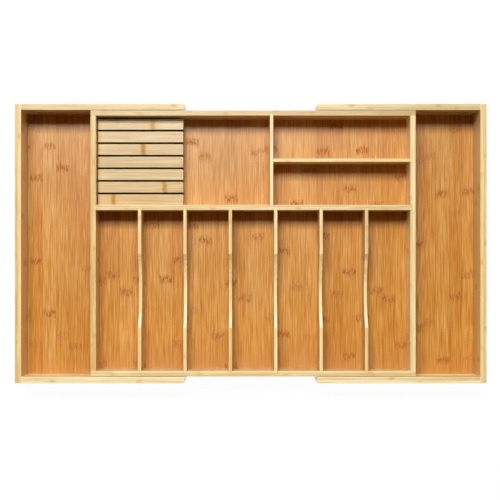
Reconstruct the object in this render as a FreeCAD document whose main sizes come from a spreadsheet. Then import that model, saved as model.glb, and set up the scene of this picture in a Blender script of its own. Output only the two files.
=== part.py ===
"""Expandable bamboo cutlery tray: a fixed center tray, two wings that slide out of it, and a knife block.

Millimetres, +Z up, +X to the right, +Y to the back. The origin lies on the surface that the tray stands on,
under the middle of the whole tray with its wings pulled out as far as they are at rest.
"""

import FreeCAD, Part
import os

import Sketcher

# Driving sizes of the tray, each with the alias of its cell.
SIZES = {
    # Whole tray
    "tray_height": 64,
    "left_extension": 104.5,
    "right_extension": 97.5,
    # Center tray
    "center_length": 490,
    "center_wall": 8,
    "center_floor_lift": 6,
    "center_floor": 4,
    "cutlery_slots": 7,
    "cutlery_slot_length": 242.6,
    "cross_beam": 8,
    "cross_beam_housing": 3,
    "divider": 5,
    "divider_housing": 2,
    "handle_bay_length": 131.5,
    "scoop_length": 111,
    "scoop_depth": 18.5,
    # Wings
    "end_wall": 9.5,
    "rail": 9.5,
    "wing_floor_lift": 2.5,
    "wing_floor": 4,
    # Knife block
    "knife_slats": 7,
    "slat_length": 130,
    "slat_thickness": 16.65,
    "slat_height": 27,
    "knife_slot": 2.5,
    "spacer_height": 6,
    "block_left_gap": 0.9,
    "block_front_gap": 0.5,
    "block_back_gap": 2.35,
    # Guides that carry the wings
    "guide_level": 32,
    "guide_height": 8,
    "guide_set": 3,
    "guide_reach": 4,
    "guide_inset": 2,
    "stop_plug_length": 10,
    # Dowels in the corners
    "dowel_diameter": 4,
    "dowel_length": 16,
    "dowel_bite": 5,
    # Grooves, clearances and finish
    "floor_groove": 4,
    "side_gap": 0.5,
    "under_gap": 0.5,
    "closed_gap": 1.5,
    "rails_gap": 0.6,
    "stop_margin": 0.5,
    "guide_gap": 0.4,
    "glue_gap": 0.1,
    "dowel_gap": 0.05,
    "dowel_end_gap": 0.3,
    "edge_round": 0.7,
    "corner_round": 2,
    "overrun": 1,
}

# Shares used when edges are picked: how near to a side counts as on it, and how straight along an axis.
SIDE_TOLERANCE_SHARE = 1e-6
ALONG_AXIS_SHARE = 0.99

ACROSS = FreeCAD.Vector(1, 0, 0)
UP = FreeCAD.Vector(0, 0, 1)

# Heights worked out from the driving sizes.
CENTER_UNDER = "(Size.wing_floor_lift + Size.wing_floor + Size.under_gap)"
CENTER_HEIGHT = f"(Size.tray_height - {CENTER_UNDER})"
FLOOR_LEVEL = "(Size.center_floor_lift + Size.center_floor)"
FLOOR_TOP = f"({CENTER_UNDER} + {FLOOR_LEVEL})"
BAY_HEIGHT = f"(Size.tray_height - {FLOOR_TOP})"
WING_FLOOR_TOP = "(Size.wing_floor_lift + Size.wing_floor)"

# Guide grooves in the rails, and the grooves that hold the guide strips.
RAIL_GROOVE_DEPTH = "(Size.guide_reach + Size.guide_gap)"
RAIL_GROOVE_HEIGHT = "(Size.guide_height + 2 * Size.guide_gap)"
RAIL_GROOVE_UNDER = f"(Size.guide_level - {RAIL_GROOVE_HEIGHT} / 2)"
RAIL_GROOVE_TOP = f"(Size.guide_level + {RAIL_GROOVE_HEIGHT} / 2)"
GUIDE_UNDER = "(Size.guide_level - Size.guide_height / 2)"

# Lengths along X.
TOTAL_LENGTH = "(Size.center_length + Size.left_extension + Size.right_extension + 2 * Size.end_wall)"
CENTER_LEFT = "((Size.left_extension - Size.right_extension - Size.center_length) / 2)"
CENTER_INSIDE = "(Size.center_length - 2 * Size.center_wall)"
SLOT_WIDTH = f"(({CENTER_INSIDE} - (Size.cutlery_slots - 1) * Size.divider) / Size.cutlery_slots)"
SLOT_PITCH = f"({SLOT_WIDTH} + Size.divider)"
KNIFE_BAY = "(Size.block_left_gap + Size.slat_length + Size.handle_bay_length)"
SHELF_BAY = f"({CENTER_INSIDE} - {KNIFE_BAY} - Size.divider)"
RAIL_LENGTH = "(Size.center_length / 2 + Size.closed_gap - Size.rails_gap / 2)"
STOP_EXTENSION = "(max(Size.left_extension; Size.right_extension) + Size.stop_margin)"
GUIDE_LENGTH = f"({RAIL_LENGTH} - {STOP_EXTENSION} - Size.stop_plug_length - Size.guide_inset)"

# Depths along Y.
BLOCK_DEPTH = "(Size.knife_slats * Size.slat_thickness + (Size.knife_slats - 1) * Size.knife_slot)"
BACK_BAY = f"({BLOCK_DEPTH} + Size.block_front_gap + Size.block_back_gap)"
CENTER_BETWEEN = f"({BACK_BAY} + Size.cross_beam + Size.cutlery_slot_length)"
CENTER_FRONT = f"(-{CENTER_BETWEEN} / 2 - Size.center_wall)"
CENTER_BACK = f"({CENTER_BETWEEN} / 2)"
BEAM_FRONT = f"(Size.cutlery_slot_length - {CENTER_BETWEEN} / 2)"
BEAM_BACK = f"({BEAM_FRONT} + Size.cross_beam)"
SHELF_FRONT = f"(({BACK_BAY} - Size.divider) / 2)"
WING_INSIDE = f"({CENTER_BETWEEN} + 2 * Size.center_wall + 2 * Size.side_gap)"
WING_DEPTH = f"({WING_INSIDE} + 2 * Size.rail)"

# Joints between the boards.
HOUSING_WIDTH = "(Size.divider + 2 * Size.glue_gap)"
DIVIDER_TENON = "(Size.divider_housing - Size.glue_gap)"
BEAM_TENON = "(Size.cross_beam_housing - Size.glue_gap)"
FLOOR_TONGUE = "(Size.floor_groove - Size.glue_gap)"
DOWEL_BORE = "(Size.dowel_diameter / 2 + Size.dowel_gap)"
OUTER_BORE_DEPTH = "(Size.dowel_bite + Size.dowel_end_gap)"
INNER_BORE_DEPTH = "(Size.dowel_length - Size.dowel_bite + Size.dowel_end_gap)"
WING_DOWEL_HEIGHTS = (
    f"(({WING_FLOOR_TOP} + {RAIL_GROOVE_UNDER}) / 2)",
    f"(({RAIL_GROOVE_TOP} + Size.tray_height) / 2)",
)
CENTER_DOWEL_HEIGHTS = (
    f"(({FLOOR_TOP} + {RAIL_GROOVE_UNDER}) / 2)",
    f"(({RAIL_GROOVE_TOP} + Size.tray_height) / 2)",
)
SCOOP_RADIUS = "((Size.scoop_length^2 / 4 + Size.scoop_depth^2) / (2 * Size.scoop_depth))"


def make_sheet(doc):
    """The sheet of driving sizes: a name and a value in each row."""
    sheet = doc.addObject("Spreadsheet::Sheet", "Size")
    for row, (alias, value) in enumerate(SIZES.items(), 1):
        sheet.set(f"A{row}", alias)
        sheet.set(f"B{row}", str(value))
        sheet.setAlias(f"B{row}", alias)
    doc.recompute()
    return sheet


def origin_plane(body, role):
    """One of the body's own origin planes."""
    return next(plane for plane in body.Origin.OriginFeatures if plane.Role == role)


def bind_vector(thing, path, expressions):
    """Binds the x, y and z of a place to three expressions."""
    for axis, expression in zip("xyz", expressions):
        thing.setExpression(f"{path}.{axis}", expression)


def attached_sketch(body, name, role, offset):
    """An empty sketch on one of the body's planes, moved by an offset in the plane's own directions."""
    sketch = body.newObject("Sketcher::SketchObject", name)
    sketch.AttachmentSupport = [(origin_plane(body, role), "")]
    sketch.MapMode = "FlatFace"
    bind_vector(sketch, "AttachmentOffset.Base", offset)
    return sketch


def rectangle_sketch(body, name, corner, width, depth):
    """A rectangle on the body's XY plane, with its low corner moved to a corner in the body's frame."""
    sketch = attached_sketch(body, name, "XY_Plane", corner)
    points = [FreeCAD.Vector(*point) for point in ((0, 0), (1, 0), (1, 1), (0, 1))]
    for start, end in zip(points, points[1:] + points[:1]):
        sketch.addGeometry(Part.LineSegment(start, end), False)
    for side in range(len(points)):
        following = (side + 1) % len(points)
        sketch.addConstraint(Sketcher.Constraint("Coincident", side, 2, following, 1))
        sketch.addConstraint(Sketcher.Constraint(("Horizontal", "Vertical")[side % 2], side))
    sketch.addConstraint(Sketcher.Constraint("Coincident", 0, 1, -1, 1))
    across = sketch.addConstraint(Sketcher.Constraint("DistanceX", 0, 1, 0, 2, 1))
    along = sketch.addConstraint(Sketcher.Constraint("DistanceY", 1, 1, 1, 2, 1))
    sketch.setExpression(f"Constraints[{across}]", width)
    sketch.setExpression(f"Constraints[{along}]", depth)
    return sketch


def circle_sketch(body, name, role, offset, radius):
    """A circle about the origin of a sketch that is moved by the offset."""
    sketch = attached_sketch(body, name, role, offset)
    sketch.addGeometry(Part.Circle(FreeCAD.Vector(), UP, 1), False)
    sketch.addConstraint(Sketcher.Constraint("Coincident", 0, 3, -1, 1))
    size = sketch.addConstraint(Sketcher.Constraint("Radius", 0, 1))
    sketch.setExpression(f"Constraints[{size}]", radius)
    return sketch


def board(doc, label, place, size):
    """A board: a rectangle of size x by size y, padded up by size z, with its low corner at the place."""
    body = doc.addObject("PartDesign::Body", label)
    body.Label = label
    bind_vector(body, "Placement.Base", place)
    pad = body.newObject("PartDesign::Pad", f"{label}_pad")
    pad.Profile = rectangle_sketch(body, f"{label}_outline", ("0", "0", "0"), size[0], size[1])
    pad.setExpression("Length", size[2])
    doc.recompute()
    return body


def pocket(doc, body, name, sketch, along_normal, length):
    """Cuts a sketch into the body, along the sketch's normal or against it, and makes sure that it cuts."""
    before = body.Tip.Shape.Volume
    cut = body.newObject("PartDesign::Pocket", name)
    cut.Profile = sketch
    cut.Reversed = along_normal
    cut.setExpression("Length", length)
    doc.recompute()
    if not cut.Shape.Volume < before:
        raise RuntimeError(f"{name} cuts nothing")
    return cut


def recess(doc, body, name, corner, size):
    """A box cut out of the body, from its low corner, in the body's frame."""
    label = f"{body.Label}_{name}"
    sketch = rectangle_sketch(body, f"{label}_outline", corner, size[0], size[1])
    return pocket(doc, body, label, sketch, True, size[2])


def repeat_along_x(doc, body, cut, pitch, copies):
    """Repeats a cut along X."""
    pattern = body.newObject("PartDesign::LinearPattern", f"{cut.Name}_row")
    pattern.Originals = [cut]
    pattern.Direction = (cut.Profile[0], ["H_Axis"])
    pattern.Mode = "Spacing"
    pattern.setExpression("Offset", pitch)
    pattern.setExpression("Occurrences", copies)
    body.Tip = pattern
    doc.recompute()


def bore_along_x(doc, body, name, start, towards_plus, depth):
    """A round bore along X from a start point in the body's frame."""
    label = f"{body.Label}_{name}"
    offset = (start[1], start[2], start[0])
    sketch = circle_sketch(body, f"{label}_outline", "YZ_Plane", offset, DOWEL_BORE)
    pocket(doc, body, label, sketch, towards_plus, depth)


def bore_along_y(doc, body, name, start, towards_plus, depth):
    """A round bore along Y from a start point in the body's frame."""
    label = f"{body.Label}_{name}"
    offset = (start[0], start[2], f"-({start[1]})")
    sketch = circle_sketch(body, f"{label}_outline", "XZ_Plane", offset, DOWEL_BORE)
    pocket(doc, body, label, sketch, not towards_plus, depth)


def lies_on_side(edge, box, side):
    """Whether an edge lies in one of the six sides of a box."""
    axis, end = {
        "left": ("X", "Min"),
        "right": ("X", "Max"),
        "front": ("Y", "Min"),
        "back": ("Y", "Max"),
        "under": ("Z", "Min"),
        "top": ("Z", "Max"),
    }[side]
    plane = getattr(box, axis + end)
    limits = (getattr(edge.BoundBox, axis + "Min"), getattr(edge.BoundBox, axis + "Max"))
    tolerance = box.DiagonalLength * SIDE_TOLERANCE_SHARE
    return all(abs(limit - plane) < tolerance for limit in limits)


def runs_along(edge, axis):
    """Whether an edge starts out along an axis."""
    return abs(edge.tangentAt(edge.FirstParameter).dot(axis)) > ALONG_AXIS_SHARE


def round_edges(doc, body, name, chosen, radius):
    """Rounds those edges of the body for which chosen(edge, box) holds."""
    base = body.Tip
    box = base.Shape.BoundBox
    names = [f"Edge{number}" for number, edge in enumerate(base.Shape.Edges, 1) if chosen(edge, box)]
    fillet = body.newObject("PartDesign::Fillet", f"{body.Label}_{name}")
    fillet.Base = (base, names)
    fillet.setExpression("Radius", radius)
    doc.recompute()


def ease_edges(doc, body, square_sides=(), square_run=None):
    """Eases the body's edges, apart from those of sides that meet a board or that run along an axis."""

    def chosen(edge, box):
        meets_board = any(lies_on_side(edge, box, side) for side in square_sides)
        stays_square = square_run is not None and runs_along(edge, square_run)
        return not meets_board and not stays_square

    round_edges(doc, body, "eased", chosen, "Size.edge_round")


def round_corners(doc, body, corners):
    """Rounds upright edges of the body. A corner is the two sides that meet in its edge."""

    def chosen(edge, box):
        in_corner = any(all(lies_on_side(edge, box, side) for side in corner) for corner in corners)
        return in_corner and runs_along(edge, UP)

    round_edges(doc, body, "corners", chosen, "Size.corner_round")


def dowel_group(doc, label, axis, places):
    """Identical dowels along one axis, each starting at its place."""
    dowels = []
    for place in places:
        dowel = doc.addObject("Part::Cylinder", f"{label}_dowel")
        dowel.setExpression("Radius", "Size.dowel_diameter / 2")
        dowel.setExpression("Height", "Size.dowel_length")
        dowel.Placement.Rotation = FreeCAD.Rotation(UP, axis)
        bind_vector(dowel, "Placement.Base", place)
        dowels.append(dowel)
    group = doc.addObject("Part::Compound", label)
    group.Label = label
    group.Links = dowels
    return group


def center_long_wall(doc, name):
    """Front or back wall of the center tray, full length: floor groove inside, guide grooves, bores."""
    front = name == "front"
    inner_face = "Size.center_wall" if front else "0"
    floor_groove_start = "Size.center_wall - Size.floor_groove" if front else "-Size.overrun"
    guide_groove_start = "-Size.overrun" if front else "Size.center_wall - Size.guide_set"
    wall = board(
        doc,
        f"center_{name}_wall",
        (CENTER_LEFT, CENTER_FRONT if front else CENTER_BACK, CENTER_UNDER),
        ("Size.center_length", "Size.center_wall", CENTER_HEIGHT),
    )
    ease_edges(doc, wall)
    recess(
        doc,
        wall,
        "floor_groove",
        (
            "Size.center_wall - Size.floor_groove",
            floor_groove_start,
            "Size.center_floor_lift - Size.glue_gap",
        ),
        (
            f"{CENTER_INSIDE} + 2 * Size.floor_groove",
            "Size.floor_groove + Size.overrun",
            "Size.center_floor + 2 * Size.glue_gap",
        ),
    )
    guide_starts = {
        "left": "Size.guide_inset - Size.glue_gap",
        "right": f"Size.center_length - Size.guide_inset - {GUIDE_LENGTH} - Size.glue_gap",
    }
    for side, start in guide_starts.items():
        recess(
            doc,
            wall,
            f"{side}_guide_groove",
            (start, guide_groove_start, f"{GUIDE_UNDER} - {CENTER_UNDER} - Size.glue_gap"),
            (
                f"{GUIDE_LENGTH} + 2 * Size.glue_gap",
                "Size.guide_set + Size.overrun",
                "Size.guide_height + 2 * Size.glue_gap",
            ),
        )
    corner_middles = {
        "left": "Size.center_wall / 2",
        "right": "Size.center_length - Size.center_wall / 2",
    }
    for side, middle in corner_middles.items():
        for level, height in zip(("low", "high"), CENTER_DOWEL_HEIGHTS):
            start = (middle, inner_face, f"{height} - {CENTER_UNDER}")
            bore_along_y(doc, wall, f"{side}_{level}_bore", start, not front, OUTER_BORE_DEPTH)
    return wall


def center_back_wall(doc):
    """Back wall, with the housing of the section divider."""
    wall = center_long_wall(doc, "back")
    recess(
        doc,
        wall,
        "divider_housing",
        (f"Size.center_wall + {KNIFE_BAY} - Size.glue_gap", "-Size.overrun", FLOOR_LEVEL),
        (HOUSING_WIDTH, "Size.divider_housing + Size.overrun", f"{BAY_HEIGHT} + Size.overrun"),
    )
    return wall


def center_front_wall(doc):
    """Front wall, with the housings of the cutlery dividers."""
    wall = center_long_wall(doc, "front")
    housing = recess(
        doc,
        wall,
        "divider_housing",
        (
            f"Size.center_wall + {SLOT_WIDTH} - Size.glue_gap",
            "Size.center_wall - Size.divider_housing",
            FLOOR_LEVEL,
        ),
        (HOUSING_WIDTH, "Size.divider_housing + Size.overrun", f"{BAY_HEIGHT} + Size.overrun"),
    )
    repeat_along_x(doc, wall, housing, SLOT_PITCH, "Size.cutlery_slots - 1")
    return wall


def center_side_wall(doc, name):
    """Left or right wall of the center tray, between the front and the back wall."""
    left = name == "left"
    wall = board(
        doc,
        f"center_{name}_wall",
        (
            CENTER_LEFT if left else f"{CENTER_LEFT} + Size.center_length - Size.center_wall",
            f"-{CENTER_BETWEEN} / 2",
            CENTER_UNDER,
        ),
        ("Size.center_wall", CENTER_BETWEEN, CENTER_HEIGHT),
    )
    ease_edges(doc, wall, ("front", "back"))

    def cut_inside(cut_name, start, depth, span, lift, height):
        """A groove in the inner face, as deep as given, from start over span along Y."""
        corner_x = f"Size.center_wall - {depth}" if left else "-Size.overrun"
        recess(doc, wall, cut_name, (corner_x, start, lift), (f"{depth} + Size.overrun", span, height))

    cut_inside(
        "floor_groove",
        "-Size.overrun",
        "Size.floor_groove",
        f"{CENTER_BETWEEN} + 2 * Size.overrun",
        "Size.center_floor_lift - Size.glue_gap",
        "Size.center_floor + 2 * Size.glue_gap",
    )
    cut_inside(
        "beam_housing",
        "Size.cutlery_slot_length - Size.glue_gap",
        "Size.cross_beam_housing",
        "Size.cross_beam + 2 * Size.glue_gap",
        FLOOR_LEVEL,
        f"{BAY_HEIGHT} + Size.overrun",
    )
    if not left:
        cut_inside(
            "shelf_housing",
            f"Size.cutlery_slot_length + Size.cross_beam + {SHELF_FRONT} - Size.glue_gap",
            "Size.divider_housing",
            HOUSING_WIDTH,
            FLOOR_LEVEL,
            f"{BAY_HEIGHT} + Size.overrun",
        )
    wall_ends = {"front": "0", "back": CENTER_BETWEEN}
    for end, start_y in wall_ends.items():
        for level, height in zip(("low", "high"), CENTER_DOWEL_HEIGHTS):
            start = ("Size.center_wall / 2", start_y, f"{height} - {CENTER_UNDER}")
            bore_along_y(doc, wall, f"{end}_{level}_bore", start, end == "front", INNER_BORE_DEPTH)
    return wall


def center_floor_panel(doc):
    """Floor of the center tray, with its edges in the grooves of the four walls."""
    return board(
        doc,
        "center_floor_panel",
        (
            f"{CENTER_LEFT} + Size.center_wall - {FLOOR_TONGUE}",
            f"-{CENTER_BETWEEN} / 2 - {FLOOR_TONGUE}",
            f"{CENTER_UNDER} + Size.center_floor_lift",
        ),
        (
            f"{CENTER_INSIDE} + 2 * {FLOOR_TONGUE}",
            f"{CENTER_BETWEEN} + 2 * {FLOOR_TONGUE}",
            "Size.center_floor",
        ),
    )


def cross_beam(doc):
    """Beam between the back compartments and the cutlery slots, let into the side walls."""
    beam = board(
        doc,
        "cross_beam",
        (f"{CENTER_LEFT} + Size.center_wall - {BEAM_TENON}", BEAM_FRONT, FLOOR_TOP),
        (f"{CENTER_INSIDE} + 2 * {BEAM_TENON}", "Size.cross_beam", BAY_HEIGHT),
    )
    ease_edges(doc, beam, ("left", "right", "under"))
    housing_size = (HOUSING_WIDTH, "Size.divider_housing + Size.overrun", f"{BAY_HEIGHT} + 2 * Size.overrun")
    housing = recess(
        doc,
        beam,
        "cutlery_housing",
        (f"{BEAM_TENON} + {SLOT_WIDTH} - Size.glue_gap", "-Size.overrun", "-Size.overrun"),
        housing_size,
    )
    repeat_along_x(doc, beam, housing, SLOT_PITCH, "Size.cutlery_slots - 1")
    recess(
        doc,
        beam,
        "section_housing",
        (
            f"{BEAM_TENON} + {KNIFE_BAY} - Size.glue_gap",
            "Size.cross_beam - Size.divider_housing",
            "-Size.overrun",
        ),
        housing_size,
    )
    return beam


def cutlery_divider(doc, number):
    """Divider between two cutlery slots, with a finger scoop cut as an arc into its top edge."""
    divider_length = f"(Size.cutlery_slot_length + 2 * {DIVIDER_TENON})"
    divider = board(
        doc,
        f"cutlery_divider_{number}",
        (
            f"{CENTER_LEFT} + Size.center_wall + {number} * {SLOT_PITCH} - Size.divider",
            f"-{CENTER_BETWEEN} / 2 - {DIVIDER_TENON}",
            FLOOR_TOP,
        ),
        ("Size.divider", divider_length, BAY_HEIGHT),
    )
    arc_center = (
        f"{divider_length} / 2",
        f"{BAY_HEIGHT} - Size.scoop_depth + {SCOOP_RADIUS}",
        "-Size.overrun",
    )
    scoop = circle_sketch(divider, f"{divider.Label}_scoop_outline", "YZ_Plane", arc_center, SCOOP_RADIUS)
    pocket(doc, divider, f"{divider.Label}_scoop", scoop, True, "Size.divider + 2 * Size.overrun")
    ease_edges(doc, divider, ("front", "back", "under"), ACROSS)
    return divider


def section_divider(doc):
    """Divider between the knife bay and the two shelf bays, with the housing of the shelf divider."""
    divider = board(
        doc,
        "section_divider",
        (
            f"{CENTER_LEFT} + Size.center_wall + {KNIFE_BAY}",
            f"{BEAM_BACK} - {DIVIDER_TENON}",
            FLOOR_TOP,
        ),
        ("Size.divider", f"{BACK_BAY} + 2 * {DIVIDER_TENON}", BAY_HEIGHT),
    )
    ease_edges(doc, divider, ("front", "back", "under"))
    recess(
        doc,
        divider,
        "shelf_housing",
        (
            "Size.divider - Size.divider_housing",
            f"{DIVIDER_TENON} + {SHELF_FRONT} - Size.glue_gap",
            "-Size.overrun",
        ),
        ("Size.divider_housing + Size.overrun", HOUSING_WIDTH, f"{BAY_HEIGHT} + 2 * Size.overrun"),
    )
    return divider


def shelf_divider(doc):
    """Divider between the two shelf bays."""
    divider = board(
        doc,
        "shelf_divider",
        (
            f"{CENTER_LEFT} + Size.center_wall + {KNIFE_BAY} + Size.divider - {DIVIDER_TENON}",
            f"{BEAM_BACK} + {SHELF_FRONT}",
            FLOOR_TOP,
        ),
        (f"{SHELF_BAY} + 2 * {DIVIDER_TENON}", "Size.divider", BAY_HEIGHT),
    )
    ease_edges(doc, divider, ("left", "right", "under"))
    return divider


def guide_strip(doc, row, side):
    """Strip glued into the outside of a long wall, which carries one rail of a wing in its groove."""
    set_in = "(Size.guide_set - Size.glue_gap)"
    reach = f"({set_in} + Size.side_gap + Size.guide_reach)"
    start_x = {
        "left": f"{CENTER_LEFT} + Size.guide_inset",
        "right": f"{CENTER_LEFT} + Size.center_length - Size.guide_inset - {GUIDE_LENGTH}",
    }[side]
    start_y = {
        "front": f"{CENTER_FRONT} + {set_in} - {reach}",
        "back": f"{CENTER_BACK} + Size.center_wall - {set_in}",
    }[row]
    return board(
        doc,
        f"guide_strip_{row}_{side}",
        (start_x, start_y, GUIDE_UNDER),
        (GUIDE_LENGTH, reach, "Size.guide_height"),
    )


def center_dowels(doc):
    """Two dowels along Y in each corner of the center tray."""
    middles_x = (
        f"{CENTER_LEFT} + Size.center_wall / 2",
        f"{CENTER_LEFT} + Size.center_length - Size.center_wall / 2",
    )
    starts_y = (
        f"-{CENTER_BETWEEN} / 2 - Size.dowel_bite",
        f"{CENTER_BETWEEN} / 2 + Size.dowel_bite - Size.dowel_length",
    )
    places = [(x, y, z) for x in middles_x for y in starts_y for z in CENTER_DOWEL_HEIGHTS]
    return dowel_group(doc, "center_dowels", FreeCAD.Vector(0, 1, 0), places)


def wing_end_x(side):
    """The low X of a wing's end wall."""
    return {
        "left": f"(-{TOTAL_LENGTH} / 2)",
        "right": f"({TOTAL_LENGTH} / 2 - Size.end_wall)",
    }[side]


def wing_rail_x(side):
    """The low X of a wing's rails."""
    return {
        "left": f"({wing_end_x('left')} + Size.end_wall)",
        "right": f"({wing_end_x('right')} - {RAIL_LENGTH})",
    }[side]


def wing_rail_y(row):
    """The low Y of the front or the back rail."""
    return {"front": f"(-{WING_DEPTH} / 2)", "back": f"({WING_INSIDE} / 2)"}[row]


def wing_end_wall(doc, side):
    """End wall of a wing, over its full depth, with the floor groove and the bores of the corner dowels."""
    left = side == "left"
    wall = board(
        doc,
        f"{side}_wing_end_wall",
        (wing_end_x(side), f"-{WING_DEPTH} / 2", "0"),
        ("Size.end_wall", WING_DEPTH, "Size.tray_height"),
    )
    round_corners(doc, wall, [(side, "front"), (side, "back")])
    ease_edges(doc, wall, (), UP)
    recess(
        doc,
        wall,
        "floor_groove",
        (
            "Size.end_wall - Size.floor_groove" if left else "-Size.overrun",
            "Size.rail - Size.floor_groove",
            "Size.wing_floor_lift - Size.glue_gap",
        ),
        (
            "Size.floor_groove + Size.overrun",
            f"{WING_INSIDE} + 2 * Size.floor_groove",
            "Size.wing_floor + 2 * Size.glue_gap",
        ),
    )
    inner_face = "Size.end_wall" if left else "0"
    rail_middles = {"front": "Size.rail / 2", "back": f"{WING_DEPTH} - Size.rail / 2"}
    for row, middle in rail_middles.items():
        for level, height in zip(("low", "high"), WING_DOWEL_HEIGHTS):
            start = (inner_face, middle, height)
            bore_along_x(doc, wall, f"{row}_{level}_bore", start, not left, OUTER_BORE_DEPTH)
    return wall


def wing_rail(doc, side, row):
    """Rail of a wing: it butts against the end wall, holds the floor panel and runs on the guide strips."""
    left = side == "left"
    front = row == "front"
    rail = board(
        doc,
        f"{side}_wing_{row}_rail",
        (wing_rail_x(side), wing_rail_y(row), "0"),
        (RAIL_LENGTH, "Size.rail", "Size.tray_height"),
    )
    round_corners(doc, rail, [("right" if left else "left", row)])
    ease_edges(doc, rail, ("left" if left else "right",), UP)

    def cut_inside(cut_name, depth, lift, height):
        """A groove over the whole length of the inner face."""
        corner_y = f"Size.rail - {depth}" if front else "-Size.overrun"
        recess(
            doc,
            rail,
            cut_name,
            ("-Size.overrun", corner_y, lift),
            (f"{RAIL_LENGTH} + 2 * Size.overrun", f"{depth} + Size.overrun", height),
        )

    floor_height = "Size.wing_floor + 2 * Size.glue_gap"
    cut_inside("floor_groove", "Size.floor_groove", "Size.wing_floor_lift - Size.glue_gap", floor_height)
    cut_inside("guide_groove", RAIL_GROOVE_DEPTH, RAIL_GROOVE_UNDER, RAIL_GROOVE_HEIGHT)
    butt_end = "0" if left else RAIL_LENGTH
    for level, height in zip(("low", "high"), WING_DOWEL_HEIGHTS):
        start = (butt_end, "Size.rail / 2", height)
        bore_along_x(doc, rail, f"{level}_bore", start, left, INNER_BORE_DEPTH)
    return rail


def wing_floor_panel(doc, side):
    """Floor of a wing, held in its end wall and rails, which slides under the center tray."""
    start_x = {"left": f"{wing_rail_x(side)} - {FLOOR_TONGUE}", "right": wing_rail_x(side)}[side]
    return board(
        doc,
        f"{side}_wing_floor_panel",
        (start_x, f"-{WING_INSIDE} / 2 - {FLOOR_TONGUE}", "Size.wing_floor_lift"),
        (f"{RAIL_LENGTH} + {FLOOR_TONGUE}", f"{WING_INSIDE} + 2 * {FLOOR_TONGUE}", "Size.wing_floor"),
    )


def stop_plug(doc, side, row):
    """Plug in the free end of a rail's guide groove, which stops at the guide strip when the wing is out."""
    depth = f"({RAIL_GROOVE_DEPTH} - Size.glue_gap)"
    start_x = {
        "left": f"{wing_rail_x('left')} + {RAIL_LENGTH} - Size.stop_plug_length",
        "right": wing_rail_x("right"),
    }[side]
    start_y = {
        "front": f"{wing_rail_y('front')} + Size.rail - {depth}",
        "back": wing_rail_y("back"),
    }[row]
    return board(
        doc,
        f"{side}_wing_{row}_stop_plug",
        (start_x, start_y, f"{RAIL_GROOVE_UNDER} + Size.glue_gap"),
        ("Size.stop_plug_length", depth, f"{RAIL_GROOVE_HEIGHT} - 2 * Size.glue_gap"),
    )


def wing_dowels(doc, side):
    """Two dowels along X in each corner of a wing."""
    start_x = {
        "left": f"{wing_rail_x('left')} - Size.dowel_bite",
        "right": f"{wing_end_x('right')} + Size.dowel_bite - Size.dowel_length",
    }[side]
    middles_y = [f"{wing_rail_y(row)} + Size.rail / 2" for row in ("front", "back")]
    places = [(start_x, y, z) for y in middles_y for z in WING_DOWEL_HEIGHTS]
    return dowel_group(doc, f"{side}_wing_dowels", ACROSS, places)


def knife_block_y(number):
    """The front face of a slat, counted from the front."""
    return f"({BEAM_BACK} + Size.block_front_gap + {number - 1} * (Size.slat_thickness + Size.knife_slot))"


def knife_slat(doc, number):
    """Slat of the knife block, standing on the floor panel."""
    slat = board(
        doc,
        f"knife_slat_{number}",
        (f"{CENTER_LEFT} + Size.center_wall + Size.block_left_gap", knife_block_y(number), FLOOR_TOP),
        ("Size.slat_length", "Size.slat_thickness", "Size.slat_height"),
    )
    ease_edges(doc, slat, ("under",), UP)
    return slat


def knife_spacer(doc, number):
    """Strip that keeps two slats apart and is the floor of the slot between them."""
    return board(
        doc,
        f"knife_spacer_{number}",
        (
            f"{CENTER_LEFT} + Size.center_wall + Size.block_left_gap",
            f"{knife_block_y(number)} + Size.slat_thickness",
            FLOOR_TOP,
        ),
        ("Size.slat_length", "Size.knife_slot", "Size.spacer_height"),
    )


def make_center_tray(doc):
    """The fixed tray: walls, floor, beam, dividers, guides and dowels."""
    pieces = [center_back_wall(doc), center_front_wall(doc)]
    pieces += [center_side_wall(doc, side) for side in ("left", "right")]
    pieces += [center_floor_panel(doc), cross_beam(doc)]
    pieces += [cutlery_divider(doc, number) for number in range(1, SIZES["cutlery_slots"])]
    pieces += [section_divider(doc), shelf_divider(doc)]
    pieces += [guide_strip(doc, row, side) for row in ("front", "back") for side in ("left", "right")]
    pieces.append(center_dowels(doc))
    return pieces


def make_wing(doc, side):
    """A sliding wing: end wall, two rails, floor, two stop plugs and dowels."""
    pieces = [wing_end_wall(doc, side), wing_floor_panel(doc, side), wing_dowels(doc, side)]
    for row in ("front", "back"):
        pieces += [wing_rail(doc, side, row), stop_plug(doc, side, row)]
    return pieces


def make_knife_block(doc):
    """The lift-out block: slats with spacer strips between them."""
    pieces = [knife_slat(doc, number) for number in range(1, SIZES["knife_slats"] + 1)]
    pieces += [knife_spacer(doc, number) for number in range(1, SIZES["knife_slats"])]
    return pieces


def check(doc, pieces):
    """Stops if a feature failed or a piece has no valid shape."""
    for thing in doc.Objects:
        if {"Invalid", "Error"} & set(thing.State):
            raise RuntimeError(f"{thing.Name} failed: {thing.State}")
    for piece in pieces:
        if piece.Shape.isNull() or not piece.Shape.isValid():
            raise RuntimeError(f"{piece.Label} has no valid shape")


def main():
    doc = FreeCAD.newDocument("CutleryTray")
    make_sheet(doc)
    pieces = make_center_tray(doc) + make_wing(doc, "left") + make_wing(doc, "right") + make_knife_block(doc)
    doc.recompute()
    check(doc, pieces)
    os.makedirs("parts", exist_ok=True)
    for piece in pieces:
        piece.Shape.exportStep(f"parts/{piece.Label}.step")


main()
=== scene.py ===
"""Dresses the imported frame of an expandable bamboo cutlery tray.

The boards keep their own solids and get bamboo finishes, and a camera looks straight down on the tray
under soft studio light. Lengths are in metres, and colours are picture levels from 0 to 255.
"""

import math
from dataclasses import dataclass, replace

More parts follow.
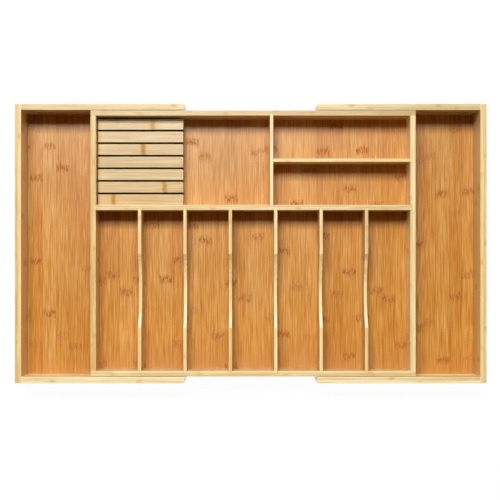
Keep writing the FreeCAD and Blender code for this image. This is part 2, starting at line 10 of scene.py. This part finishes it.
import bpy
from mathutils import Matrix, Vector


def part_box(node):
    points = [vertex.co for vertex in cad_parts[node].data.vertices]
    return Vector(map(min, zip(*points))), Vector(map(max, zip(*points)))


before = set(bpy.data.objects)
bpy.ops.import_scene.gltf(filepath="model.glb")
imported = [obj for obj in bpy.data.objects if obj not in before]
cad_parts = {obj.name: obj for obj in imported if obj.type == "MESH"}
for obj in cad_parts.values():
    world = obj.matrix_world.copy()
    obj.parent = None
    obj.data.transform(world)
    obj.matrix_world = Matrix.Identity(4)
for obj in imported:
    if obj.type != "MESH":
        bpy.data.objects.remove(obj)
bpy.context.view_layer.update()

# Camera, straight above the tray
CAMERA_PLACE = (-0.0162, -0.0358, 1.774)
CAMERA_FOCAL = 81.75
CAMERA_SENSOR = 36.0
CAMERA_SHIFT_SHARES = (0.0200, 0.0344)

# Soft lamps: name, place, aim, width, height and power. The key lamp hangs behind the back edge and
# leans toward the front, so that front and back get the same light. A low lamp behind brightens the
# finger scoops, and two weak ones in front, left and right, lift the inner faces.
LAMPS = (
    ("key_lamp", (-0.25, 0.98, 2.28), (-0.25, -4.02, 0.05), 1.10, 0.92, 86.0),
    ("back_lamp", (0.60, 2.80, 1.20), (0.0, 0.0, 0.05), 2.60, 0.90, 20.0),
    ("left_lamp", (-2.40, -1.70, 0.85), (0.0, 0.0, 0.05), 2.40, 1.20, 14.0),
    ("right_lamp", (2.40, -1.70, 0.85), (0.0, 0.0, 0.05), 2.40, 1.20, 18.0),
)

# Room light from all round
ROOM_COLOUR = (1.0, 1.0, 1.0, 1.0)
ROOM_STRENGTH = 0.010

# White sweep under and around the tray: its own shade, and the glow and shade that the camera sees
SWEEP_HALF_WIDTH = 8.0
SWEEP_HEIGHT = 5.0
SWEEP_LEVEL = -0.0005
SWEEP_SHADE = (236, 235, 233)
SWEEP_GLOW_SHARE = 0.965
SWEEP_SHADOW_SHADE = (69, 69, 69)

# Patterns in the bamboo: width across the grain and length along it
FIBRE_WIDTH = 0.0010
FIBRE_LENGTH = 0.034
STREAK_WIDTH = 0.0011
STREAK_LENGTH = 0.070
LINE_WIDTH = 0.0018
LINE_LENGTH = 0.080
PATCH_WIDTH = 0.030
PATCH_LENGTH = 0.120
SWAY_WIDTH = 0.012
SWAY_LENGTH = 0.070
SWAY_REACH = 0.0016

# Where a pattern's noise, or a ring's draw, goes from nothing to its full strength
EVEN_SHARES = (0.0, 1.0)
TONE_SHARES = (0.25, 0.75)
LINE_SHARES = (0.47, 0.36)
DASH_SHARES = (0.46, 0.54)
RING_SHARES = (0.05, 0.60)

# Growth rings of the cane: wavy bands across a strip, made up of short dark dashes
RING_SPACING = 0.130
RING_CORE = 0.0010
RING_WAVE_WIDTH = 0.0045
RING_WAVE_LENGTH = 1.0
RING_DASH_WIDTH = 0.0021
RING_DASH_LENGTH = 0.0065

# Reach of the chance numbers that shift one strip's pattern against the next
START_REACH = 40.0
RING_START_REACH = 7.3
ROW_STEP = 17.0

# Glue lines between strips, eased board edges, and the relief of the fibres
SEAM_HALF_WIDTH = 0.00035
EDGE_WIDTH = 0.0014
RELIEF_DEPTH = 0.00010

# Sockets of the colour mix node, which share their names with others
MIX_FIRST = 6
MIX_SECOND = 7
MIX_RESULT = 2

# The screen curve that turns picture levels into light
FULL_LEVEL = 255.0
SCREEN_LIFT_SHARE = 0.055
SCREEN_POWER = 2.4

FULL_SHARE = 1.0
MIDDLE_SHARE = 0.5
NOISE_SCALE = 1.0
NOISE_DETAIL = 2.0
QUARTER_TURN = math.pi / 2
BEYOND_ANY_BOARD = 1.0


@dataclass(frozen=True)
class Stock:
    """A kind of bamboo board: its shades from deep to pale, its strips and rings, how strongly each
    pattern and finish shows, how strongly painted shade and painted highlight show, and the weight and
    roughness of its lacquer."""

    shades: tuple
    tone_share: float
    line_shade: tuple
    ring_shade: tuple
    halo_shade: tuple
    strip: tuple
    ring_reach: float
    ring_wave: float
    halo_reach: float
    ring_fill_share: float
    strip_tone_share: float
    streak_tone_share: float
    fibre_tone_share: float
    patch_tone_share: float
    line_tint_share: float
    ring_tint_share: float
    halo_tint_share: float
    seam_tint_share: float
    front_shade_tint_share: float
    edge_tint_share: float
    scoop_highlight_tint_share: float
    coat_share: float
    roughness_shares: tuple = (0.30, 0.40)


NATURAL = Stock(
    shades=((208, 162, 84), (237, 207, 141), (251, 235, 190)),
    tone_share=0.05,
    line_shade=(204, 156, 84),
    ring_shade=(200, 150, 80),
    halo_shade=(226, 186, 112),
    strip=(0.0048, 0.0205),
    ring_reach=0.0070,
    ring_wave=0.006,
    halo_reach=0.014,
    ring_fill_share=0.50,
    strip_tone_share=0.50,
    streak_tone_share=0.40,
    fibre_tone_share=0.20,
    patch_tone_share=0.25,
    line_tint_share=0.45,
    ring_tint_share=0.50,
    halo_tint_share=0.20,
    seam_tint_share=0.50,
    front_shade_tint_share=0.0,
    edge_tint_share=0.50,
    scoop_highlight_tint_share=0.0,
    coat_share=0.45,
)
# Painted sheen: greyer, less yellow shades for the boards at the back, standing in for the whitish
# glare on them.
PALE = replace(NATURAL, shades=((193, 160, 98), (217, 195, 141), (235, 219, 177)))
BEAM = replace(NATURAL, shades=((200, 161, 91), (227, 201, 141), (243, 227, 184)))
# The dividers carry the painted highlight on the front slopes of their scoops.
DIVIDER = replace(
    NATURAL,
    tone_share=0.20,
    scoop_highlight_tint_share=0.60,
    coat_share=0.0,
    roughness_shares=(0.45, 0.55),
)
CARAMEL = Stock(
    shades=((184, 111, 25), (207, 144, 54), (224, 172, 99)),
    tone_share=0.0,
    line_shade=(166, 94, 14),
    ring_shade=(168, 93, 6),
    halo_shade=(190, 116, 48),
    strip=(0.0203, 0.0100),
    ring_reach=0.0090,
    ring_wave=0.012,
    halo_reach=0.016,
    ring_fill_share=0.20,
    strip_tone_share=0.30,
    streak_tone_share=0.34,
    fibre_tone_share=0.76,
    patch_tone_share=0.22,
    line_tint_share=0.40,
    ring_tint_share=0.95,
    halo_tint_share=0.15,
    seam_tint_share=0.30,
    front_shade_tint_share=0.35,
    edge_tint_share=0.0,
    scoop_highlight_tint_share=0.0,
    coat_share=0.20,
)
# The centre floor gets a stronger painted shade at its front end.
CENTER_FLOOR = replace(CARAMEL, front_shade_tint_share=0.55)
SLAT = Stock(
    shades=((186, 148, 90), (207, 178, 126), (222, 198, 152)),
    tone_share=0.0,
    line_shade=(180, 140, 82),
    ring_shade=(172, 120, 36),
    halo_shade=(210, 160, 64),
    strip=(0.0056, 0.0200),
    ring_reach=0.0055,
    ring_wave=0.004,
    halo_reach=0.020,
    ring_fill_share=0.75,
    strip_tone_share=0.20,
    streak_tone_share=0.40,
    fibre_tone_share=0.30,
    patch_tone_share=0.30,
    line_tint_share=0.35,
    ring_tint_share=0.85,
    halo_tint_share=0.35,
    seam_tint_share=0.10,
    front_shade_tint_share=0.0,
    edge_tint_share=0.35,
    scoop_highlight_tint_share=0.0,
    coat_share=0.0,
)
BACK_SLAT = replace(SLAT, ring_tint_share=0.40)
DOWEL = Stock(
    shades=((206, 172, 122), (226, 198, 154), (238, 216, 178)),
    tone_share=0.0,
    line_shade=(198, 160, 106),
    ring_shade=(190, 150, 100),
    halo_shade=(210, 176, 124),
    strip=(0.0600, 0.0600),
    ring_reach=0.0060,
    ring_wave=0.006,
    halo_reach=0.012,
    ring_fill_share=0.50,
    strip_tone_share=0.10,
    streak_tone_share=0.40,
    fibre_tone_share=0.40,
    patch_tone_share=0.20,
    line_tint_share=0.25,
    ring_tint_share=0.20,
    halo_tint_share=0.10,
    seam_tint_share=0.0,
    front_shade_tint_share=0.0,
    edge_tint_share=0.20,
    scoop_highlight_tint_share=0.0,
    coat_share=0.0,
)

# How much paler than the middle shade some boards are
BOARD_TONE_SHARES = {
    "left_wing_back_rail": -0.12,
    "right_wing_back_rail": -0.03,
    "left_wing_front_rail": 0.25,
    "right_wing_front_rail": 0.30,
    "left_wing_end_wall": -0.10,
    "right_wing_end_wall": -0.10,
    "center_back_wall": -0.40,
    "center_front_wall": -0.12,
    "center_left_wall": -0.36,
    "center_right_wall": 0.27,
    "cross_beam": -0.02,
    "cutlery_divider_1": 0.22,
    "cutlery_divider_2": 0.10,
    "cutlery_divider_3": -0.15,
    "cutlery_divider_5": 0.08,
    "cutlery_divider_6": -0.12,
    "knife_slat_1": -0.10,
    "knife_slat_2": -0.15,
    "knife_slat_4": -0.25,
    "knife_slat_6": 0.05,
    "knife_slat_7": 0.10,
}

# Painted shade: the front ends of the floors are painted darker and greyer, to tone down the warm glow
# that the front walls throw onto them
FRONT_PAINTED_SHADE = (178, 124, 66)
FRONT_SHADE_REACH = 0.065

# Painted shade: the slat faces inside the knife slots and the spacer tops at their bottoms are painted
# nearly black, standing in for the deep shade there
SLOT_PAINTED_SHADE = (26, 14, 6)
SLOT_SHADE_TINT_SHARE = 0.985
# Darker end grain, and how squarely a face must look along an axis to count as facing it
END_TINT_SHARE = 0.35
FACING_SHARES = (0.6, 0.9)

# Painted highlight: the front slopes of the finger scoops are painted pale, standing in for the glint
# of a light behind
SCOOP_HIGHLIGHT_SHADE = (255, 246, 222)
SCOOP_HIGHLIGHT_SHARES = (0.28, 0.50)

# Axes that the grain runs along or a face looks along, and the ways along one
ALONG_X = 0
ALONG_Y = 1
UPRIGHT = 2
DOWN_AXIS = (-1.0,)
UP_AXIS = (1.0,)
BOTH_WAYS = DOWN_AXIS + UP_AXIS

# Satin lacquer, duller on the growth rings
COAT_ROUGHNESS_SHARE = 0.20
RING_ROUGHNESS_SHARE = 0.50
RELIEF_STRENGTH = 0.4

DIVIDER_COUNT = 6
SLAT_COUNT = 7

# Places of the growth rings on the knife slats, as shares of their length
SLAT_RING_SHARES = {1: 0.18, 2: 0.78, 5: 0.53, 7: 0.64}


def linear(levels):
    """A colour in picture levels as the linear light that a shader takes, by the screen curve."""
    shares = [level / FULL_LEVEL for level in levels]
    lift = SCREEN_LIFT_SHARE
    lights = [((share + lift) / (FULL_SHARE + lift)) ** SCREEN_POWER for share in shares]
    return (*lights, FULL_SHARE)


class Finish:
    """The shader nodes of one material: each method adds a node and gives back what comes out of it."""

    def __init__(self, tree):
        self.tree = tree
        self.tree.nodes.clear()

    def add(self, kind, sources, **settings):
        node = self.tree.nodes.new(kind)
        for setting, value in settings.items():
            setattr(node, setting, value)
        for socket, source in sources.items():
            if isinstance(source, bpy.types.NodeSocket):
                self.tree.links.new(source, node.inputs[socket])
            else:
                node.inputs[socket].default_value = source
        return node

    def calc(self, operation, *terms):
        return self.add("ShaderNodeMath", dict(enumerate(terms)), operation=operation).outputs[0]

    def total(self, *terms):
        result = terms[0]
        for term in terms[1:]:
            result = self.calc("ADD", result, term)
        return result

    def about_middle(self, value, reach):
        """A value from 0 to 1, turned into one from minus half the reach to plus half of it."""
        return self.calc("MULTIPLY", self.calc("SUBTRACT", value, MIDDLE_SHARE), reach)

    def vector(self, x, y, z):
        return self.add("ShaderNodeCombineXYZ", {"X": x, "Y": y, "Z": z}).outputs[0]

    def parts(self, vector):
        return self.add("ShaderNodeSeparateXYZ", {"Vector": vector}).outputs

    def noise(self, vector, detail):
        sources = {"Vector": vector, "Scale": NOISE_SCALE, "Detail": detail}
        return self.add("ShaderNodeTexNoise", sources).outputs["Fac"]

    def chance(self, vector):
        return self.add("ShaderNodeTexWhiteNoise", {"Vector": vector}).outputs["Value"]

    def fade(self, value, start, stop):
        """Goes smoothly from 0 at start to 1 at stop."""
        sources = {"Value": value, "From Min": start, "From Max": stop}
        return self.add("ShaderNodeMapRange", sources, interpolation_type="SMOOTHSTEP").outputs[0]

    def spread(self, value, low, high):
        """Carries a value from 0 to 1 over to the range from low to high."""
        sources = {"Value": value, "To Min": low, "To Max": high}
        return self.add("ShaderNodeMapRange", sources).outputs[0]

    def blend(self, share, first, second):
        sources = {"Factor": share, MIX_FIRST: first, MIX_SECOND: second}
        return self.add("ShaderNodeMix", sources, data_type="RGBA").outputs[MIX_RESULT]

    def tint(self, colour, mask, share, shade):
        """Blends a shade in where the mask is 1, as strongly as the share says."""
        return self.blend(self.calc("MULTIPLY", mask, share), colour, linear(shade))

    def ramp(self, value, shades):
        """Runs through the shades at even steps as the value goes from 0 to 1."""
        node = self.add("ShaderNodeValToRGB", {"Fac": value})
        stops = node.color_ramp.elements
        while len(stops) < len(shades):
            stops.new(FULL_SHARE)
        for place, shade in enumerate(shades):
            stops[place].position = place / (len(shades) - 1)
            stops[place].color = linear(shade)
        return node.outputs["Color"]


class Grain:
    """The place in a board: lengths along the grain, across it and up, from its lowest corner."""

    def __init__(self, finish, low, high, grain_axis):
        self.finish = finish
        turn = (0.0, 0.0, 0.0)
        corner = (low.x, low.y, low.z)
        if grain_axis == ALONG_Y:
            turn = (0.0, 0.0, -QUARTER_TURN)
            corner = (low.y, -high.x, low.z)
        place = finish.add("ShaderNodeTexCoord", {}).outputs["Object"]
        sources = {"Vector": place, "Location": [-length for length in corner], "Rotation": turn}
        mapped = finish.add("ShaderNodeMapping", sources).outputs[0]
        self.along, self.across, self.up = finish.parts(mapped)

    def pattern(self, width, length, start, shares):
        """Noise in patches of that width across the grain and length along it, faded by the shares."""
        finish = self.finish
        run = finish.calc("ADD", finish.calc("DIVIDE", self.along, length), start)
        side = finish.calc("DIVIDE", self.across, width)
        height = finish.calc("DIVIDE", self.up, width)
        return finish.fade(finish.noise(finish.vector(run, side, height), NOISE_DETAIL), *shares)

    def sway(self, start):
        """Lets the grain wander sideways in long waves."""
        wave = self.pattern(SWAY_WIDTH, SWAY_LENGTH, start, EVEN_SHARES)
        self.across = self.finish.calc("ADD", self.across, self.finish.about_middle(wave, SWAY_REACH))


def strip_pattern(finish, grain, strip, seed):
    """The glued strips of a board: their cell, a chance number each, and the gap to a glue line."""
    wide, high = strip
    column = finish.calc("DIVIDE", grain.across, wide)
    row = finish.calc("DIVIDE", grain.up, high)
    row_start = finish.calc("MULTIPLY", finish.calc("FLOOR", row), ROW_STEP)
    cell = finish.calc("ADD", finish.calc("FLOOR", column), row_start)
    chance = finish.chance(finish.vector(cell, seed, 0.0))
    side_gap = finish.calc("MULTIPLY", finish.calc("PINGPONG", column, MIDDLE_SHARE), wide)
    top_gap = finish.calc("MULTIPLY", finish.calc("PINGPONG", row, MIDDLE_SHARE), high)
    return cell, chance, finish.calc("MINIMUM", side_gap, top_gap)


def ring_pattern(finish, grain, stock, cell, chance, seed, places):
    """Masks of the cane's growth rings and of the warm halos round them.

    A ring is a band across the grain. Noise across the strip makes it wavy, and short dashes fill it.
    Rings lie at the given places, or a spacing apart, each strip with a start and strengths of its own.
    """
    wave = grain.pattern(RING_WAVE_WIDTH, RING_WAVE_LENGTH, seed, EVEN_SHARES)
    along = finish.calc("ADD", grain.along, finish.about_middle(wave, stock.ring_wave))
    if places is None:
        start = finish.calc("MULTIPLY", chance, RING_START_REACH)
        run = finish.calc("ADD", finish.calc("DIVIDE", along, RING_SPACING), start)
        gap = finish.calc("MULTIPLY", finish.calc("PINGPONG", run, MIDDLE_SHARE), RING_SPACING)
        draw = finish.chance(finish.vector(finish.calc("ROUND", run), cell, seed))
        strength = finish.fade(draw, *RING_SHARES)
    else:
        gap = BEYOND_ANY_BOARD
        strength = FULL_SHARE
        for place in places:
            place_gap = finish.calc("ABSOLUTE", finish.calc("SUBTRACT", along, place))
            gap = finish.calc("MINIMUM", gap, place_gap)
    band = finish.fade(gap, stock.ring_reach, RING_CORE)
    dashes = grain.pattern(RING_DASH_WIDTH, RING_DASH_LENGTH, seed, DASH_SHARES)
    filled = finish.calc("MULTIPLY", band, finish.spread(dashes, stock.ring_fill_share, FULL_SHARE))
    halo = finish.fade(gap, stock.halo_reach, 0.0)
    return finish.calc("MULTIPLY", filled, strength), finish.calc("MULTIPLY", halo, strength)


def edge_gap(finish, low, high):
    """The gap to the nearest edge of a board's box: the middle one of the gaps to its faces."""
    place = finish.parts(finish.add("ShaderNodeTexCoord", {}).outputs["Object"])
    gaps = []
    for axis in (ALONG_X, ALONG_Y, UPRIGHT):
        from_low = finish.calc("SUBTRACT", place[axis], low[axis])
        from_high = finish.calc("SUBTRACT", high[axis], place[axis])
        gaps.append(finish.calc("MINIMUM", from_low, from_high))
    first, second, third = gaps
    lower = finish.calc("MINIMUM", first, second)
    upper = finish.calc("MAXIMUM", first, second)
    return finish.calc("MAXIMUM", lower, finish.calc("MINIMUM", upper, third))


def facing(finish, axis, ways, shares):
    """1 on the faces that look along the axis in the given ways, faded to 0 on those that do not."""
    normal = finish.parts(finish.add("ShaderNodeTexCoord", {}).outputs["Normal"])
    result = 0.0
    for way in ways:
        result = finish.calc("MAXIMUM", result, finish.calc("MULTIPLY", normal[axis], way))
    return finish.fade(result, *shares)


def bamboo(node, stock, grain_axis, ring_places, tone, slot_shade_axis, slot_shade_ways):
    """Lacquered bamboo for one board: strips with their own tone, fibres, lines and growth rings, paler
    eased edges, darker end grain, and where it has them, painted shade at front ends and inside knife
    slots and a painted highlight on scoop slopes."""
    material = bpy.data.materials.new(node + "_bamboo")
    material.use_nodes = True
    finish = Finish(material.node_tree)
    seed = float(sorted(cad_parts).index(node))
    low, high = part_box(node)
    grain = Grain(finish, low, high, grain_axis)
    cell, chance, seam_gap = strip_pattern(finish, grain, stock.strip, seed)
    start = finish.calc("MULTIPLY", chance, START_REACH)
    grain.sway(seed)
    fibre = grain.pattern(FIBRE_WIDTH, FIBRE_LENGTH, start, TONE_SHARES)
    streak = grain.pattern(STREAK_WIDTH, STREAK_LENGTH, start, TONE_SHARES)
    line = grain.pattern(LINE_WIDTH, LINE_LENGTH, start, LINE_SHARES)
    patch = grain.pattern(PATCH_WIDTH, PATCH_LENGTH, seed, TONE_SHARES)
    # Mask of the painted shade at the front end of a floor.
    front = finish.fade(grain.along, FRONT_SHADE_REACH, 0.0)
    level = finish.total(
        MIDDLE_SHARE + tone,
        finish.about_middle(chance, stock.strip_tone_share),
        finish.about_middle(streak, stock.streak_tone_share),
        finish.about_middle(fibre, stock.fibre_tone_share),
        finish.about_middle(patch, stock.patch_tone_share),
    )
    colour = finish.ramp(level, stock.shades)
    ring, halo = ring_pattern(finish, grain, stock, cell, chance, seed, ring_places)
    seam = finish.fade(seam_gap, SEAM_HALF_WIDTH, 0.0)
    edge = finish.fade(edge_gap(finish, low, high), EDGE_WIDTH, 0.0)
    # Painted shade at the front end of a floor.
    colour = finish.tint(colour, front, stock.front_shade_tint_share, FRONT_PAINTED_SHADE)
    colour = finish.tint(colour, line, stock.line_tint_share, stock.line_shade)
    colour = finish.tint(colour, halo, stock.halo_tint_share, stock.halo_shade)
    colour = finish.tint(colour, ring, stock.ring_tint_share, stock.ring_shade)
    colour = finish.tint(colour, seam, stock.seam_tint_share, stock.ring_shade)
    colour = finish.tint(colour, edge, stock.edge_tint_share, stock.shades[-1])
    end = facing(finish, grain_axis, BOTH_WAYS, FACING_SHARES)
    colour = finish.tint(colour, end, END_TINT_SHARE, stock.ring_shade)
    # Painted highlight: the scoop slopes that face the back are painted pale, as a glint.
    if stock.scoop_highlight_tint_share:
        painted_glint = facing(finish, ALONG_Y, UP_AXIS, SCOOP_HIGHLIGHT_SHARES)
        colour = finish.tint(colour, painted_glint, stock.scoop_highlight_tint_share, SCOOP_HIGHLIGHT_SHADE)
    # Painted shade: faces inside the knife slots are painted nearly black.
    if slot_shade_ways:
        slot_shade = facing(finish, slot_shade_axis, slot_shade_ways, FACING_SHARES)
        colour = finish.tint(colour, slot_shade, SLOT_SHADE_TINT_SHARE, SLOT_PAINTED_SHADE)
    height = finish.calc("SUBTRACT", finish.calc("ADD", fibre, streak), seam)
    relief_sources = {"Strength": RELIEF_STRENGTH, "Distance": RELIEF_DEPTH, "Height": height}
    relief = finish.add("ShaderNodeBump", relief_sources).outputs["Normal"]
    dull = finish.calc("MULTIPLY", ring, RING_ROUGHNESS_SHARE)
    sources = {
        "Base Color": colour,
        "Roughness": finish.calc("ADD", finish.spread(streak, *stock.roughness_shares), dull),
        "Normal": relief,
        "Coat Weight": stock.coat_share,
        "Coat Roughness": COAT_ROUGHNESS_SHARE,
    }
    surface = finish.add("ShaderNodeBsdfPrincipled", sources).outputs[0]
    finish.add("ShaderNodeOutputMaterial", {"Surface": surface})
    return material


def dress(node, stock, grain_axis, ring_places=None, slot_shade_axis=ALONG_Y, slot_shade_ways=()):
    """Gives a board its own bamboo."""
    tone = BOARD_TONE_SHARES.get(node, stock.tone_share)
    material = bamboo(node, stock, grain_axis, ring_places, tone, slot_shade_axis, slot_shade_ways)
    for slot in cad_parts[node].material_slots:
        slot.material = material


def dress_walls():
    # The boards at the back get the greyer stock, painted sheen for the glare there.
    dress("center_back_wall", PALE, ALONG_X)
    dress("cross_beam", BEAM, ALONG_X)
    for node in ("center_front_wall", "shelf_divider"):
        dress(node, NATURAL, ALONG_X)
    for node in ("center_left_wall", "center_right_wall", "section_divider"):
        dress(node, NATURAL, ALONG_Y)
    for side in ("left", "right"):
        dress(side + "_wing_end_wall", NATURAL, ALONG_Y)
        for place, stock in (("front", NATURAL), ("back", PALE)):
            dress("%s_wing_%s_rail" % (side, place), stock, ALONG_X)
            dress("%s_wing_%s_stop_plug" % (side, place), stock, ALONG_X)
            dress("guide_strip_%s_%s" % (place, side), stock, ALONG_X)


def dress_dividers():
    for count in range(1, DIVIDER_COUNT + 1):
        dress("cutlery_divider_%d" % count, DIVIDER, ALONG_Y)


def dress_floors():
    dress("center_floor_panel", CENTER_FLOOR, ALONG_Y)
    for side in ("left", "right"):
        dress(side + "_wing_floor_panel", CARAMEL, ALONG_Y)


def dress_knife_block():
    for count in range(1, SLAT_COUNT + 1):
        node = "knife_slat_%d" % count
        low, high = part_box(node)
        places = []
        if count in SLAT_RING_SHARES:
            places.append(SLAT_RING_SHARES[count] * (high.x - low.x))
        # Slat faces that look into a slot get the painted shade.
        slot_shade_ways = ()
        if count > 1:
            slot_shade_ways += DOWN_AXIS
        if count < SLAT_COUNT:
            slot_shade_ways += UP_AXIS
        stock = BACK_SLAT if count == SLAT_COUNT else SLAT
        dress(node, stock, ALONG_X, places, ALONG_Y, slot_shade_ways)
    # The spacer tops, at the bottoms of the slots, get the painted shade too.
    for count in range(1, SLAT_COUNT):
        dress("knife_spacer_%d" % count, SLAT, ALONG_X, [], UPRIGHT, UP_AXIS)


def dress_dowels():
    dress("center_dowels", DOWEL, ALONG_Y)
    for side in ("left", "right"):
        dress(side + "_wing_dowels", DOWEL, ALONG_X)


def seen_directly(finish):
    """1 for rays from the camera, also by way of gloss or glass, and 0 for rays that carry light."""
    path = finish.add("ShaderNodeLightPath", {}).outputs
    mirrored = finish.calc("MAXIMUM", path["Is Glossy Ray"], path["Is Transmission Ray"])
    return finish.calc("MAXIMUM", path["Is Camera Ray"], mirrored)


def lay_sweep():
    """A wide white floor with four walls, which looks white and keeps a faint shadow of the tray."""
    half = SWEEP_HALF_WIDTH
    outline = ((-half, -half), (half, -half), (half, half), (-half, half))
    corners = [(x, y, level) for level in (SWEEP_LEVEL, SWEEP_HEIGHT) for x, y in outline]
    faces = [(0, 1, 2, 3), (1, 0, 4, 5), (2, 1, 5, 6), (3, 2, 6, 7), (0, 3, 7, 4)]
    mesh = bpy.data.meshes.new("sweep")
    mesh.from_pydata(corners, [], faces)
    sweep = bpy.data.objects.new("sweep", mesh)
    bpy.context.scene.collection.objects.link(sweep)
    material = bpy.data.materials.new("white_sweep")
    material.use_nodes = True
    finish = Finish(material.node_tree)
    lit = finish.add("ShaderNodeBsdfDiffuse", {"Color": linear(SWEEP_SHADE)}).outputs[0]
    shaded = finish.add("ShaderNodeBsdfDiffuse", {"Color": linear(SWEEP_SHADOW_SHADE)}).outputs[0]
    glow = finish.add("ShaderNodeEmission", {"Strength": SWEEP_GLOW_SHARE}).outputs[0]
    shown = finish.add("ShaderNodeAddShader", {0: glow, 1: shaded}).outputs[0]
    surface = finish.add("ShaderNodeMixShader", {0: seen_directly(finish), 1: lit, 2: shown}).outputs[0]
    finish.add("ShaderNodeOutputMaterial", {"Surface": surface})
    mesh.materials.append(material)


def light_room():
    """Low even light from all round."""
    world = bpy.data.worlds.new("studio")
    bpy.context.scene.world = world
    world.use_nodes = True
    finish = Finish(world.node_tree)
    sources = {"Color": ROOM_COLOUR, "Strength": ROOM_STRENGTH}
    backdrop = finish.add("ShaderNodeBackground", sources).outputs[0]
    finish.add("ShaderNodeOutputWorld", {"Surface": backdrop})


def hang_lamps():
    for name, place, aim, width, height, power in LAMPS:
        lamp = bpy.data.lights.new(name, "AREA")
        lamp.shape = "RECTANGLE"
        lamp.size = width
        lamp.size_y = height
        lamp.energy = power
        hung = bpy.data.objects.new(name, lamp)
        hung.location = place
        way = Vector(aim) - Vector(place)
        hung.rotation_euler = way.to_track_quat("-Z", "Y").to_euler()
        bpy.context.scene.collection.objects.link(hung)


def place_camera():
    lens = bpy.data.cameras.new("camera")
    lens.lens = CAMERA_FOCAL
    lens.sensor_width = CAMERA_SENSOR
    lens.sensor_fit = "HORIZONTAL"
    lens.shift_x, lens.shift_y = CAMERA_SHIFT_SHARES
    camera = bpy.data.objects.new("camera", lens)
    camera.location = CAMERA_PLACE
    bpy.context.scene.collection.objects.link(camera)
    bpy.context.scene.camera = camera


dress_walls()
dress_dividers()
dress_floors()
dress_knife_block()
dress_dowels()
lay_sweep()
light_room()
hang_lamps()
place_camera()
bpy.context.scene.view_settings.view_transform = "Standard"
